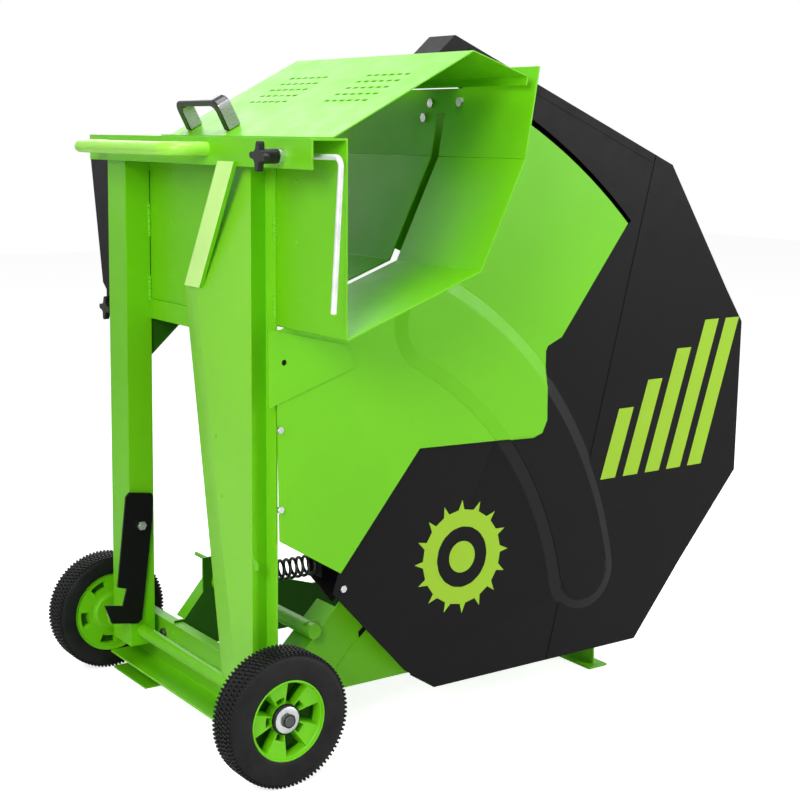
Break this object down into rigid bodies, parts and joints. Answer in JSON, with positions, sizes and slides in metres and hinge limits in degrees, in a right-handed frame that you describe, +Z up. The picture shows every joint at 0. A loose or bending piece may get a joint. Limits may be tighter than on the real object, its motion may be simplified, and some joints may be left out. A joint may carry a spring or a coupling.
{
  "type": "firewood circular saw",
  "caption": "Rocking log saw: a tilting log trough with a hood and bow handle, a guarded circular blade with motor, a sheet metal base and two transport wheels.",
  "frame": {"origin": "under the middle of the saw's bounding box, on the ground that its feet stand on", "axes": "+X is the way the trough is pushed towards the blade, +Y runs along the wheel axle away from the blade guard's outer face, +Z is up"},
  "size_m": [1.1065, 0.899, 1.11],
  "materials": {
    "green_paint": "gloss powder coat",
    "black_paint": "satin powder coat",
    "spring_steel": "black coated spring steel",
    "zinc": "zinc plated",
    "blade_steel": "ground saw steel",
    "machined_steel": "turned steel",
    "motor_stack": "laminated steel",
    "motor_alloy": "grey painted cast alloy",
    "black_plastic": "moulded",
    "green_plastic": "moulded",
    "red_plastic": "moulded",
    "nylon": "natural nylon",
    "tyre_rubber": "solid rubber"
  },
  "bodies": {
    "base": {"guard_front": "black_paint", "guard_back": "black_paint", "guard_rim": "black_paint", "motor_mount": "black_paint", "motor_housing": "motor_alloy", "motor_shields": "motor_alloy", "motor_bearings": "machined_steel", "motor_stator": "motor_stack", "fan_cowl": "black_plastic", "switch_box": "black_plastic", "switch_cover": "black_plastic", "power_inlet": "black_plastic", "axle": "zinc", "axle_nuts": "zinc", "front_channel": "green_paint", "near_rail": "green_paint", "far_rail": "green_paint", "cross_members": "green_paint", "feet": "green_paint", "spring_bracket": "black_paint", "base_bolts": "zinc", "return_spring": "spring_steel"},
    "blade": {"saw_blade": "blade_steel", "arbor_shaft": "machined_steel", "blade_flanges": "zinc", "arbor_nut": "zinc", "motor_rotor": "machined_steel", "cooling_fan": "black_plastic"},
    "near_wheel": {"near_tyre": "tyre_rubber", "near_rim": "green_paint", "near_wheel_bush": "nylon"},
    "far_wheel": {"far_tyre": "tyre_rubber", "far_rim": "green_paint", "far_wheel_bush": "nylon"},
    "rocker": {"front_wall": "green_paint", "trough_floor": "green_paint", "back_wall": "green_paint", "hood": "green_paint", "near_leg": "green_paint", "far_leg": "green_paint", "leg_brace": "green_paint", "cross_beam": "green_paint", "gussets": "green_paint", "pivot_tube": "green_paint", "pivot_bushes": "nylon", "bow_handle": "green_paint", "bridge_grip": "black_plastic", "rocker_bolts": "zinc", "stop_clamp": "zinc", "near_panel": "green_paint", "panel_brackets": "green_paint", "far_panel": "green_paint"},
    "stop_knob": {"stop_knob": "black_plastic"},
    "stop_collar": {"stop_collar": "zinc"},
    "stop_rod": {"stop_rod": "zinc"},
    "extension": {"trough_extension": "black_paint"},
    "extension_knob": {"extension_knob": "black_plastic"},
    "latch_hook": {"latch_hook": "black_paint"},
    "start_button": {"start_button": "green_plastic"},
    "stop_button": {"stop_button": "red_plastic"}
  },
  "joints": [
    {"name": "trough_tilt", "type": "hinge", "parent": "base", "child": "rocker", "pos_m": [-0.45075, -0.2735, 0.102], "axis": [0, 1, 0], "range_deg": [0, 21], "stiffness_Nm_per_rad": 260, "springref_deg": -11.46, "deforming": ["return_spring"]},
    {"name": "blade_spin", "type": "hinge", "parent": "base", "child": "blade", "pos_m": [0.06925, -0.1875, 0.466], "axis": [0, 1, 0], "continuous": true},
    {"name": "near_wheel_roll", "type": "hinge", "parent": "base", "child": "near_wheel", "pos_m": [-0.45075, -0.2735, 0.102], "axis": [0, 1, 0], "continuous": true},
    {"name": "far_wheel_roll", "type": "hinge", "parent": "base", "child": "far_wheel", "pos_m": [-0.45075, 0.3465, 0.102], "axis": [0, 1, 0], "continuous": true},
    {"name": "stop_knob_turn", "type": "hinge", "parent": "rocker", "child": "stop_knob", "pos_m": [-0.45075, -0.3365, 0.926], "axis": [1, 0, 0], "continuous": true},
    {"name": "stop_slide", "type": "slide", "parent": "rocker", "child": "stop_collar", "axis": [0, 1, 0], "range_m": [-0.18, 0]},
    {"name": "stop_swing", "type": "hinge", "parent": "stop_collar", "child": "stop_rod", "pos_m": [-0.45575, -0.2735, 0.926], "axis": [0, 1, 0], "range_deg": [-100, 90]},
    {"name": "extension_slide", "type": "slide", "parent": "rocker", "child": "extension", "axis": [0, 1, 0], "range_m": [0, 0.22]},
    {"name": "extension_knob_turn", "type": "hinge", "parent": "extension", "child": "extension_knob", "pos_m": [-0.45075, 0.3715, 0.643], "axis": [1, 0, 0], "continuous": true},
    {"name": "latch_swing", "type": "hinge", "parent": "rocker", "child": "latch_hook", "pos_m": [-0.45475, 0.1895, 0.289], "axis": [0, -1, 0], "range_deg": [0, 45]},
    {"name": "start_press", "type": "slide", "parent": "base", "child": "start_button", "axis": [0, -1, 0], "range_m": [0, 0.004], "stiffness_N_per_m": 300, "springref_m": -0.003},
    {"name": "stop_press", "type": "slide", "parent": "base", "child": "stop_button", "axis": [0, -1, 0], "range_m": [0, 0.004], "stiffness_N_per_m": 300, "springref_m": -0.003}
  ]
}
